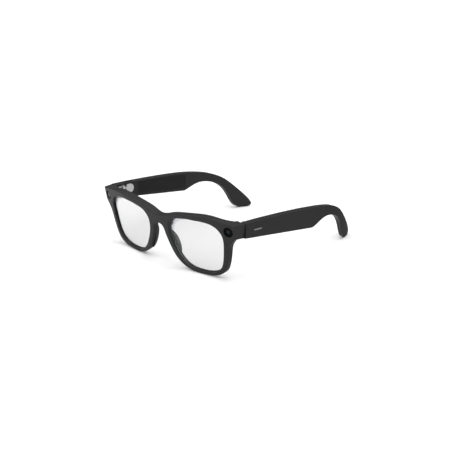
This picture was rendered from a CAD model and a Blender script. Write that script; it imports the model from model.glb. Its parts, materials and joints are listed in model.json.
import json
import math

import bpy
from mathutils import Matrix, Vector


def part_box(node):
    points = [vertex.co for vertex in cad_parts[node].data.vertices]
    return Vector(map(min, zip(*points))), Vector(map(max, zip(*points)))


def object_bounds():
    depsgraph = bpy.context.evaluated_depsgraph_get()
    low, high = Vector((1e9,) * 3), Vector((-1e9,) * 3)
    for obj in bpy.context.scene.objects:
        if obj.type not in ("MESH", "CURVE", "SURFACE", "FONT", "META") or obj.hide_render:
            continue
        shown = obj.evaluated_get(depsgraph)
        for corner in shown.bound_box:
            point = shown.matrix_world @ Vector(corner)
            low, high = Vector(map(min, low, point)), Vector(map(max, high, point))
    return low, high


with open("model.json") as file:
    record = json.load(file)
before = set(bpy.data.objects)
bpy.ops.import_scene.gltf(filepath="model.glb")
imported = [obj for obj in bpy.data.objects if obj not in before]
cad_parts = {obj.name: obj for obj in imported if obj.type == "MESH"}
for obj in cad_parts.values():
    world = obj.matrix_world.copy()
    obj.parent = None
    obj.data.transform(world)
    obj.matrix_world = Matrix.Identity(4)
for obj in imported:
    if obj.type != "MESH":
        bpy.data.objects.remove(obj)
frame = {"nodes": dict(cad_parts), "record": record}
cad_low, cad_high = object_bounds()
scene = bpy.context.scene


# ---------------------------------------------------------------- node helpers
class Shader:
    """Builds one procedural material node by node."""

    def __init__(self, name):
        self.material = bpy.data.materials.new(name)
        self.material.use_nodes = True
        self.tree = self.material.node_tree
        self.tree.nodes.clear()
        self.output = self.add("ShaderNodeOutputMaterial")
        self.principled = self.add("ShaderNodeBsdfPrincipled")
        self.link(self.principled.outputs["BSDF"], self.output.inputs["Surface"])
        self.coords = self.add("ShaderNodeTexCoord").outputs["Object"]

    def add(self, kind, **values):
        node = self.tree.nodes.new(kind)
        for key, value in values.items():
            setattr(node, key, value)
        return node

    def link(self, source, target):
        self.tree.links.new(source, target)

    def set(self, **values):
        for key, value in values.items():
            self.principled.inputs[key.replace("_", " ")].default_value = value

    def drive(self, name, source):
        self.link(source, self.principled.inputs[name])

    def blend(self, factor, other):
        """Shows another surface where the factor is 1."""
        node = self.add("ShaderNodeMixShader")
        self.link(factor, node.inputs[0])
        self.link(self.principled.outputs["BSDF"], node.inputs[1])
        self.link(other.outputs["BSDF"], node.inputs[2])
        self.link(node.outputs["Shader"], self.output.inputs["Surface"])

    def noise(self, scale, detail=4.0, roughness=0.55, stretch=None):
        node = self.add("ShaderNodeTexNoise")
        node.inputs["Scale"].default_value = scale
        node.inputs["Detail"].default_value = detail
        node.inputs["Roughness"].default_value = roughness
        source = self.coords
        if stretch:
            mapping = self.add("ShaderNodeMapping")
            mapping.inputs["Scale"].default_value = stretch
            self.link(source, mapping.inputs["Vector"])
            source = mapping.outputs["Vector"]
        self.link(source, node.inputs["Vector"])
        return node.outputs["Fac"]

    def ramp(self, source, low, high, low_at=0.3, high_at=0.7):
        node = self.add("ShaderNodeMapRange")
        node.inputs["From Min"].default_value = low_at
        node.inputs["From Max"].default_value = high_at
        node.inputs["To Min"].default_value = low
        node.inputs["To Max"].default_value = high
        self.link(source, node.inputs["Value"])
        return node.outputs["Result"]

    def mix(self, factor, first, second):
        node = self.add("ShaderNodeMix", data_type="RGBA")
        node.inputs["A"].default_value = (*first, 1)
        node.inputs["B"].default_value = (*second, 1)
        self.link(factor, node.inputs["Factor"])
        return node.outputs["Result"]

    def bump(self, *layers):
        normal = None
        for height, strength, distance in layers:
            node = self.add("ShaderNodeBump")
            node.inputs["Strength"].default_value = strength
            node.inputs["Distance"].default_value = distance
            self.link(height, node.inputs["Height"])
            if normal is not None:
                self.link(normal, node.inputs["Normal"])
            normal = node.outputs["Normal"]
        self.drive("Normal", normal)

    def math(self, operation, first, second=None):
        node = self.add("ShaderNodeMath", operation=operation)
        for index, value in enumerate((first, second)):
            if isinstance(value, (int, float)):
                node.inputs[index].default_value = value
            elif value is not None:
                self.link(value, node.inputs[index])
        return node.outputs[0]

    def split(self, vector):
        node = self.add("ShaderNodeSeparateXYZ")
        self.link(vector, node.inputs[0])
        return node.outputs

    def from_centre(self, axis, node_name):
        """Object coordinate along one axis, 0 at the node's middle and 1 at its side."""
        low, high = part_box(node_name)
        middle = (low[axis] + high[axis]) / 2
        half = (high[axis] - low[axis]) / 2
        return self.math("DIVIDE", self.math("SUBTRACT", self.split(self.coords)[axis], middle), half)


MOULDED_GRAIN = 0.00002
MOULDED_WAVE = 0.0002
BRUSHED_GRAIN = 0.00002
TRACK_HEIGHT = 0.00003
GLASS_WAVE = 0.0003
WIRE_HEIGHT = 0.00005


def plastic(name, dark, light, rough=0.42, grain=2600.0, index=1.4):
    """Satin moulded plastic: cloudy colour, uneven gloss, fine grain over a slight wave."""
    shader = Shader(name)
    clouds = shader.ramp(shader.noise(160.0), 0.0, 1.0)
    shader.drive("Base Color", shader.mix(clouds, dark, light))
    shader.drive("Roughness", shader.ramp(shader.noise(900.0), rough - 0.05, rough + 0.06))
    shader.set(IOR=index)
    shader.bump(
        (shader.noise(grain, 6.0, 0.65), 0.10, MOULDED_GRAIN),
        (shader.noise(60.0, 2.0), 0.02, MOULDED_WAVE),
    )
    return shader.material


def metal(name, base, rough, stretch=(1, 1, 1)):
    """Brushed metal whose grain runs along the stretched axis."""
    shader = Shader(name)
    grain = shader.noise(1500.0, 5.0, 0.6, stretch)
    tint = [channel * 0.86 for channel in base]
    shader.drive("Base Color", shader.mix(shader.ramp(grain, 0.0, 1.0), tint, base))
    shader.drive("Roughness", shader.ramp(grain, rough - 0.06, rough + 0.08))
    shader.set(Metallic=1.0)
    shader.bump((grain, 0.12, BRUSHED_GRAIN))
    return shader.material


def film(name, base, accent):
    """Circuit board or flexible film with thin tracks."""
    shader = Shader(name)
    tracks = shader.add("ShaderNodeTexBrick", offset=0.5)
    tracks.inputs["Scale"].default_value = 500.0
    tracks.inputs["Mortar Size"].default_value = 0.03
    tracks.inputs["Color1"].default_value = (*base, 1)
    tracks.inputs["Color2"].default_value = (*[channel * 0.8 for channel in base], 1)
    tracks.inputs["Mortar"].default_value = (*accent, 1)
    shader.link(shader.coords, tracks.inputs["Vector"])
    shader.drive("Base Color", tracks.outputs["Color"])
    shader.drive("Roughness", shader.ramp(shader.noise(800.0), 0.24, 0.40))
    shader.bump((tracks.outputs["Fac"], 0.15, TRACK_HEIGHT))
    return shader.material


LENS_CORNER_POWER = 3.0
LENS_TINT = (0.76, 0.76, 0.765)
LENS_EDGE_TINT = (0.50, 0.50, 0.53)
LENS_ABSORPTION = 20.0


def clear_lens(node_name):
    """Clear lens whose edge shows as a grey band on the side away from the viewer."""
    shader = Shader(node_name + "_clear")
    across = shader.from_centre(0, node_name)
    upright = shader.from_centre(2, node_name)
    sizes = [shader.math("ABSOLUTE", value) for value in (across, upright)]
    powers = [shader.math("POWER", value, LENS_CORNER_POWER) for value in sizes]
    reach = shader.math("POWER", shader.math("ADD", *powers), 1 / LENS_CORNER_POWER)
    near_edge = shader.ramp(reach, 0.0, 1.0, 0.83, 0.86)
    viewer = shader.split(shader.add("ShaderNodeNewGeometry").outputs["Incoming"])[0]
    away = shader.ramp(shader.math("MULTIPLY", viewer, across), 1.0, 0.0, -0.45, -0.15)
    edge_band = shader.math("MULTIPLY", near_edge, away)
    shader.drive("Base Color", shader.mix(edge_band, LENS_TINT, LENS_EDGE_TINT))
    shader.set(IOR=1.5, Transmission_Weight=1.0)
    shader.drive("Roughness", shader.ramp(shader.noise(35.0, 5.0), 0.0, 0.03, 0.5, 0.75))
    see_through = shader.add("ShaderNodeBsdfTransparent")
    see_through.inputs["Color"].default_value = (0.95, 0.95, 0.95, 1)
    path = shader.add("ShaderNodeLightPath")
    indirect = shader.math("MAXIMUM", path.outputs["Is Shadow Ray"], path.outputs["Is Diffuse Ray"])
    shader.blend(indirect, see_through)
    absorb = shader.add("ShaderNodeVolumeAbsorption")
    absorb.inputs["Color"].default_value = (0.8, 0.8, 0.86, 1)
    absorb.inputs["Density"].default_value = LENS_ABSORPTION
    shader.link(absorb.outputs["Volume"], shader.output.inputs["Volume"])
    return shader.material


def camera_glass(node_name):
    """Black cover glass with the small grey-blue lens showing in its middle."""
    shader = Shader(node_name + "_glass")
    squares = [shader.math("POWER", shader.from_centre(axis, node_name), 2.0) for axis in (0, 2)]
    radius = shader.math("SQRT", shader.math("ADD", *squares))
    eye = shader.ramp(radius, 1.0, 0.0, 0.30, 0.42)
    from_ring = shader.math("ABSOLUTE", shader.math("SUBTRACT", radius, 0.62))
    ring = shader.ramp(from_ring, 1.0, 0.0, 0.03, 0.08)
    glass = shader.mix(eye, (0.0015, 0.0018, 0.002), (0.020, 0.026, 0.032))
    ringed = shader.add("ShaderNodeMix", data_type="RGBA")
    ringed.inputs["B"].default_value = (0.006, 0.007, 0.008, 1)
    shader.link(glass, ringed.inputs["A"])
    shader.link(ring, ringed.inputs["Factor"])
    shader.drive("Base Color", ringed.outputs["Result"])
    shader.drive("Roughness", shader.ramp(shader.noise(90.0), 0.05, 0.09))
    shader.set(IOR=1.12)
    shader.bump((shader.noise(30.0, 1.0), 0.02, GLASS_WAVE))
    return shader.material


def smoked_glass(name, base):
    """Smoked cover of the indicator lamp."""
    shader = Shader(name)
    swirl = shader.ramp(shader.noise(260.0), 0.0, 1.0)
    shader.drive("Base Color", shader.mix(swirl, base, [channel * 1.5 for channel in base]))
    shader.drive("Roughness", shader.ramp(shader.noise(90.0), 0.12, 0.15))
    shader.set(IOR=1.35)
    shader.bump((shader.noise(30.0, 1.0), 0.02, GLASS_WAVE))
    return shader.material


def woven(name):
    """Fine metal mesh over the speakers."""
    shader = Shader(name)
    weave = shader.add("ShaderNodeTexVoronoi")
    weave.inputs["Scale"].default_value = 3500.0
    shader.link(shader.coords, weave.inputs["Vector"])
    holes = shader.ramp(weave.outputs["Distance"], 0.0, 1.0, 0.2, 0.5)
    shader.drive("Base Color", shader.mix(holes, (0.01, 0.01, 0.01), (0.3, 0.3, 0.31)))
    shader.set(Metallic=1.0, Roughness=0.4)
    shader.bump((weave.outputs["Distance"], 0.4, WIRE_HEIGHT))
    return shader.material


SMALL_GRAIN = 900.0
ALONG_Y = (1, 0.08, 1)
ALONG_Z = (1, 1, 0.1)
SHELL_DARK = (0.004, 0.004, 0.0045)
SHELL_LIGHT = (0.006, 0.006, 0.0065)
COVER_DARK = (0.0025, 0.0025, 0.003)
COVER_LIGHT = (0.004, 0.004, 0.0045)
MATERIALS = {
    "frame_black": plastic("frame_black", SHELL_DARK, SHELL_LIGHT),
    "temple_black": plastic("temple_black", SHELL_DARK, SHELL_LIGHT),
    "cover_black": plastic("cover_black", COVER_DARK, COVER_LIGHT, 0.46, index=1.33),
    "button_black": plastic("button_black", (0.003, 0.003, 0.003), (0.004, 0.004, 0.004), 0.5, index=1.3),
    "barrel_black": plastic("barrel_black", (0.003, 0.003, 0.003), (0.005, 0.005, 0.005), 0.6),
    "ring_black": plastic("ring_black", (0.001, 0.001, 0.001), (0.0015, 0.0015, 0.0015), 0.5, index=1.1),
    "speaker_black": plastic("speaker_black", (0.02, 0.02, 0.02), (0.03, 0.03, 0.03), 0.5),
    "battery_wrap": plastic("battery_wrap", (0.10, 0.11, 0.13), (0.14, 0.15, 0.17), 0.35, SMALL_GRAIN),
    "lamp_white": plastic("lamp_white", (0.75, 0.74, 0.62), (0.85, 0.84, 0.76), 0.3),
    "window_grey": smoked_glass("window_grey", (0.030, 0.035, 0.043)),
    "hinge_steel": metal("hinge_steel", (0.66, 0.66, 0.67), 0.38, ALONG_Y),
    "screw_steel": metal("screw_steel", (0.6, 0.6, 0.62), 0.3, ALONG_Z),
    "inlay_silver": metal("inlay_silver", (0.34, 0.345, 0.36), 0.4, ALONG_Y),
    "core_steel": metal("core_steel", (0.55, 0.55, 0.56), 0.35, ALONG_Y),
    "shield_metal": metal("shield_metal", (0.6, 0.6, 0.6), 0.4),
    "dome_metal": metal("dome_metal", (0.68, 0.68, 0.69), 0.3),
    "contact_gold": metal("contact_gold", (0.86, 0.62, 0.26), 0.28),
    "mic_can": metal("mic_can", (0.62, 0.55, 0.38), 0.34),
    "board_green": film("board_green", (0.02, 0.10, 0.05), (0.35, 0.28, 0.1)),
    "flex_amber": film("flex_amber", (0.36, 0.16, 0.03), (0.55, 0.33, 0.12)),
    "mesh_metal": woven("mesh_metal"),
}
# These two are drawn around the middle of their own piece.
CENTRED = {"clear_lens": clear_lens, "window_dark": camera_glass}

for entry in frame["record"]["subparts"]:
    node_name, slot = entry["node"], entry["material_slot"]
    materials = frame["nodes"][node_name].data.materials
    materials.clear()
    materials.append(CENTRED[slot](node_name) if slot in CENTRED else MATERIALS[slot])

# ---------------------------------------------------------------- studio
FLOOR_SIZE = 30.0
FLOOR_GAP = 0.00002
bpy.ops.mesh.primitive_plane_add(size=FLOOR_SIZE, location=(0, 0, cad_low[2] - FLOOR_GAP))
floor = bpy.context.object
floor.name = "floor"
paper = Shader("floor_paper")
paper.set(Base_Color=(0.93, 0.93, 0.93, 1), Roughness=0.85, Specular_IOR_Level=0.1)
paper.bump((paper.noise(300.0), 0.01, 0.0001))
# Reflections in the glasses see a darker floor, most of all behind them.
shade = paper.add("ShaderNodeBsdfDiffuse")
shade.inputs["Color"].default_value = (0.16, 0.16, 0.16, 1)
path = paper.add("ShaderNodeLightPath")
incoming = paper.split(paper.add("ShaderNodeNewGeometry").outputs["Incoming"])
from_behind = paper.ramp(incoming[1], 1.0, 0.25, -0.95, -0.55)
mirrored = paper.math("SUBTRACT", path.outputs["Is Glossy Ray"], path.outputs["Is Transmission Ray"])
paper.blend(paper.math("MULTIPLY", from_behind, paper.math("MAXIMUM", mirrored, 0.0)), shade)
floor.data.materials.append(paper.material)

# The sky brightens towards one side; seen directly it is white.
TOWARD_LIGHT = (0.30, -0.42, 0.86)
SKY_DIM = 0.12
SKY_BRIGHT = 1.35
DIM_BELOW = -0.22
BRIGHT_ABOVE = 0.50
world = bpy.data.worlds.new("studio")
world.use_nodes = True
scene.world = world
sky = world.node_tree
direction = sky.nodes.new("ShaderNodeTexCoord")
facing = sky.nodes.new("ShaderNodeVectorMath")
facing.operation = "DOT_PRODUCT"
facing.inputs[1].default_value = TOWARD_LIGHT
glow = sky.nodes.new("ShaderNodeMapRange")
glow.inputs["From Min"].default_value = DIM_BELOW
glow.inputs["From Max"].default_value = BRIGHT_ABOVE
glow.inputs["To Min"].default_value = SKY_DIM
glow.inputs["To Max"].default_value = SKY_BRIGHT
seen = sky.nodes.new("ShaderNodeLightPath")
strength = sky.nodes.new("ShaderNodeMath")
strength.operation = "MAXIMUM"
background = sky.nodes["Background"]
background.inputs["Color"].default_value = (1, 1, 1, 1)
sky.links.new(direction.outputs["Generated"], facing.inputs[0])
sky.links.new(facing.outputs["Value"], glow.inputs["Value"])
sky.links.new(glow.outputs["Result"], strength.inputs[0])
sky.links.new(seen.outputs["Is Camera Ray"], strength.inputs[1])
sky.links.new(strength.outputs[0], background.inputs["Strength"])

light = bpy.data.lights.new("top_light", "AREA")
light.size = 2.2
light.energy = 18.0
top_light = bpy.data.objects.new("top_light", light)
scene.collection.objects.link(top_light)
top_light.location = (0.3, -0.4, 2.5)
top_light.rotation_euler = (-top_light.location).to_track_quat("-Z", "Y").to_euler()

CAMERA_FORWARD = (-0.66521, 0.67816, -0.31240)
CAMERA_ROLL = 0.218
camera = bpy.data.objects.new("camera", bpy.data.cameras.new("camera"))
scene.collection.objects.link(camera)
camera.location = (0.48889, -0.50486, 0.24232)
look = Vector(CAMERA_FORWARD).to_track_quat("-Z", "Y").to_matrix()
camera.rotation_euler = (look @ Matrix.Rotation(math.radians(CAMERA_ROLL), 3, "Z")).to_euler()
camera.data.sensor_width = 36.0
camera.data.lens = 75.58
camera.data.clip_start = 0.01
scene.camera = camera
scene.view_settings.view_transform = "Standard"
